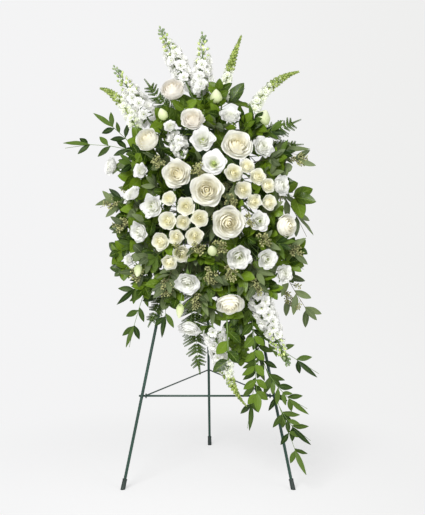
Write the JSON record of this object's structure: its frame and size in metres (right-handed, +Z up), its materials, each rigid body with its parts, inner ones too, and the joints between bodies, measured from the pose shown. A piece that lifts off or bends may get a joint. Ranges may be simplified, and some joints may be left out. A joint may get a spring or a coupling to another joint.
{
  "type": "standing funeral spray",
  "caption": "Standing spray of white roses, spray roses, lisianthus, stock and snapdragons with trailing mixed greens, on a folding green wire tripod easel.",
  "frame": {"origin": "on the floor under the middle of the whole", "axes": "+Z up, -Y towards the viewer of the flowers, +X to that viewer's right"},
  "size_m": [0.8338, 0.6618, 1.475],
  "materials": {
    "painted_steel": "dark green paint, satin",
    "tip_plastic": "dark green moulded plastic",
    "cage_plastic": "green moulded plastic",
    "foam": "green wet floral foam, dull and fine grained",
    "rose_petal": "cream petals, soft sheen",
    "spray_rose_petal": "cream petals, warmer in the middle",
    "lisianthus_petal": "cool white ruffled petals",
    "stock_petal": "pure white crumpled florets",
    "snapdragon_petal": "greenish white florets, lime buds",
    "flower_stem": "fresh green stems",
    "ruscus_leaf": "mid green narrow leaves, waxy",
    "broad_leaf": "bright green broad leaves, glossy",
    "eucalyptus_leaf": "grey-green leaves, matt bloom",
    "fern_leaf": "dark green fronds"
  },
  "bodies": {
    "stand": {"broad_ruscus_trail": "broad_leaf", "crossbar": "painted_steel", "fern_low": "fern_leaf", "fern_right": "fern_leaf", "fern_upper_left": "fern_leaf", "foam_block": "foam", "foam_cage": "cage_plastic", "hanger_bar_lower": "painted_steel", "hanger_bar_upper": "painted_steel", "head": "painted_steel", "leg_front_left": "painted_steel", "leg_front_right": "painted_steel", "lisianthus_left": "lisianthus_petal", "lisianthus_low": "lisianthus_petal", "lisianthus_lower_right": "lisianthus_petal", "lisianthus_right": "lisianthus_petal", "lisianthus_upper": "lisianthus_petal", "lisianthus_upper_right": "lisianthus_petal", "rose_crown": "rose_petal", "rose_heart": "rose_petal", "rose_left": "rose_petal", "rose_left_shoulder": "rose_petal", "rose_low": "rose_petal", "rose_middle": "rose_petal", "rose_right": "rose_petal", "rose_right_shoulder": "rose_petal", "rose_stems_lower": "flower_stem", "rose_stems_upper": "flower_stem", "rose_upper": "rose_petal", "ruscus_left": "ruscus_leaf", "ruscus_lower_left": "ruscus_leaf", "ruscus_trail": "ruscus_leaf", "salal_left": "broad_leaf", "salal_lower": "broad_leaf", "salal_middle": "broad_leaf", "salal_right": "broad_leaf", "salal_upper": "broad_leaf", "seeded_eucalyptus_left": "eucalyptus_leaf", "seeded_eucalyptus_lower_right": "eucalyptus_leaf", "seeded_eucalyptus_middle": "eucalyptus_leaf", "seeded_eucalyptus_right": "eucalyptus_leaf", "silver_dollar_left": "eucalyptus_leaf", "silver_dollar_low": "eucalyptus_leaf", "snapdragon_crown": "snapdragon_petal", "snapdragon_left": "snapdragon_petal", "snapdragon_low": "snapdragon_petal", "snapdragon_right": "snapdragon_petal", "spray_roses_left": "spray_rose_petal", "spray_roses_right": "spray_rose_petal", "stock_crown": "stock_petal", "stock_crown_left": "stock_petal", "stock_low": "stock_petal", "stock_lower_right": "stock_petal", "stock_middle": "stock_petal", "stock_upper_left": "stock_petal", "tip_left": "tip_plastic", "tip_right": "tip_plastic"},
    "rear_leg": {"leg_rear": "painted_steel", "tip_rear": "tip_plastic"},
    "brace": {"brace_wire": "painted_steel"}
  },
  "joints": [
    {"name": "rear_leg_fold", "type": "hinge", "parent": "stand", "child": "rear_leg", "pos_m": [0.03967, 0.06174, 1.268], "axis": [1, 0, 0], "range_deg": [-20, 0]},
    {"name": "brace_fold", "type": "hinge", "parent": "stand", "child": "brace", "pos_m": [0.04967, -0.14131, 0.289], "axis": [1, 0, 0], "range_deg": [0, 71]}
  ],
  "couplings": [
    {"joint": "brace_fold", "follows": "rear_leg_fold", "ratio": -3.55}
  ]
}
